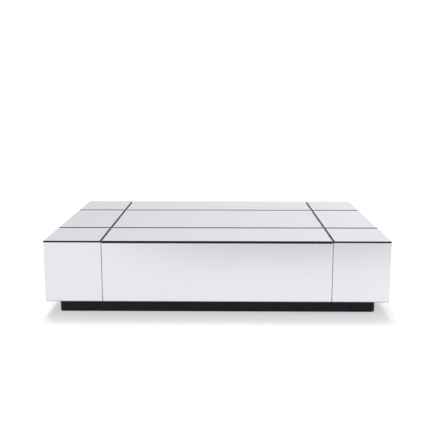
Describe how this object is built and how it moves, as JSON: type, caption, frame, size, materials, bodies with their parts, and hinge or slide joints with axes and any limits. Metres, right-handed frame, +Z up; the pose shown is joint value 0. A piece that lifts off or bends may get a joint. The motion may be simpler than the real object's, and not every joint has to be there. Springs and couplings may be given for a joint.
{
  "type": "mirrored coffee table",
  "caption": "Low rectangular mirror-clad block table on a recessed dark plinth, its top tiled in a grid of mirror panels, with a press-to-open drawer behind the middle front panel.",
  "frame": {"origin": "on the floor, under the middle of the block", "axes": "+Z up, +X to the right seen from the front, the front with the drawer faces -Y"},
  "size_m": [1.4, 1, 0.31],
  "materials": {
    "mirror_glass": "silvered clear float glass, arrises ground and polished, greenish-black at its edges",
    "black_board": "fibreboard with a matte black sealer",
    "grey_board": "fibreboard with a matte grey sealer, which shows in the open grooves",
    "plinth_lacquer": "satin black-brown lacquer with a fine orange-peel texture",
    "raw_softwood": "sawn softwood, unfinished",
    "drawer_board": "fibreboard faced with matte warm-grey foil",
    "foam_tape": "dark acrylic foam mounting tape",
    "runner_steel": "bright zinc-plated rolled steel",
    "latch_plastic": "moulded acetal, matte",
    "plunger_plastic": "moulded acetal, smooth",
    "glide_plastic": "moulded nylon, matte",
    "bumper_rubber": "soft clear elastomer",
    "screw_steel": "zinc-plated steel, slightly yellow",
    "black_screw_steel": "black-phosphated steel, so that the heads under the top grooves do not show"
  },
  "bodies": {
    "block": {"top_mirror_front_left": "mirror_glass", "top_mirror_front_centre": "mirror_glass", "top_mirror_front_right": "mirror_glass", "top_mirror_middle_left": "mirror_glass", "top_mirror_middle_centre": "mirror_glass", "top_mirror_middle_right": "mirror_glass", "top_mirror_back_left": "mirror_glass", "top_mirror_back_centre": "mirror_glass", "top_mirror_back_right": "mirror_glass", "front_mirror_left": "mirror_glass", "front_mirror_right": "mirror_glass", "back_mirror_left": "mirror_glass", "back_mirror_centre": "mirror_glass", "back_mirror_right": "mirror_glass", "left_mirror_front": "mirror_glass", "left_mirror_middle": "mirror_glass", "left_mirror_back": "mirror_glass", "right_mirror_front": "mirror_glass", "right_mirror_middle": "mirror_glass", "right_mirror_back": "mirror_glass", "top_board": "grey_board", "bottom_board": "black_board", "left_end_board": "black_board", "right_end_board": "black_board", "back_board": "black_board", "left_fascia_board": "black_board", "right_fascia_board": "black_board", "left_partition": "black_board", "right_partition": "black_board", "bay_back_panel": "black_board", "rear_rib": "black_board", "plinth_front_board": "plinth_lacquer", "plinth_back_board": "plinth_lacquer", "plinth_left_board": "plinth_lacquer", "plinth_right_board": "plinth_lacquer", "plinth_cross_board": "plinth_lacquer", "plinth_blocks": "raw_softwood", "mirror_tape": "foam_tape", "left_cabinet_runner": "runner_steel", "right_cabinet_runner": "runner_steel", "latch_housings": "latch_plastic", "glides": "glide_plastic", "front_bumpers": "bumper_rubber", "plinth_screws": "screw_steel", "carcass_screws": "black_screw_steel"},
    "drawer": {"drawer_front_board": "black_board", "drawer_mirror": "mirror_glass", "drawer_mirror_tape": "foam_tape", "drawer_inner_front": "drawer_board", "drawer_back": "drawer_board", "drawer_left_side": "drawer_board", "drawer_right_side": "drawer_board", "drawer_bottom": "drawer_board", "left_drawer_runner": "runner_steel", "right_drawer_runner": "runner_steel", "drawer_screws": "screw_steel"},
    "left_runner_middle": {"left_middle_runner": "runner_steel"},
    "right_runner_middle": {"right_middle_runner": "runner_steel"},
    "left_plunger": {"left_latch_plunger": "plunger_plastic"},
    "right_plunger": {"right_latch_plunger": "plunger_plastic"}
  },
  "joints": [
    {"name": "drawer_slide", "type": "slide", "parent": "block", "child": "drawer", "axis": [0, -1, 0], "range_m": [-0.0028, 0.5]},
    {"name": "left_runner_slide", "type": "slide", "parent": "block", "child": "left_runner_middle", "axis": [0, -1, 0], "range_m": [-0.0014, 0.25]},
    {"name": "right_runner_slide", "type": "slide", "parent": "block", "child": "right_runner_middle", "axis": [0, -1, 0], "range_m": [-0.0014, 0.25]},
    {"name": "left_plunger_slide", "type": "slide", "parent": "block", "child": "left_plunger", "axis": [0, -1, 0], "range_m": [-0.0002, 0.035]},
    {"name": "right_plunger_slide", "type": "slide", "parent": "block", "child": "right_plunger", "axis": [0, -1, 0], "range_m": [-0.0002, 0.035]}
  ],
  "couplings": [
    {"joint": "left_runner_slide", "follows": "drawer_slide", "ratio": 0.5},
    {"joint": "right_runner_slide", "follows": "drawer_slide", "ratio": 0.5},
    {"joint": "left_plunger_slide", "follows": "drawer_slide", "ratio": 0.07},
    {"joint": "right_plunger_slide", "follows": "drawer_slide", "ratio": 0.07}
  ]
}
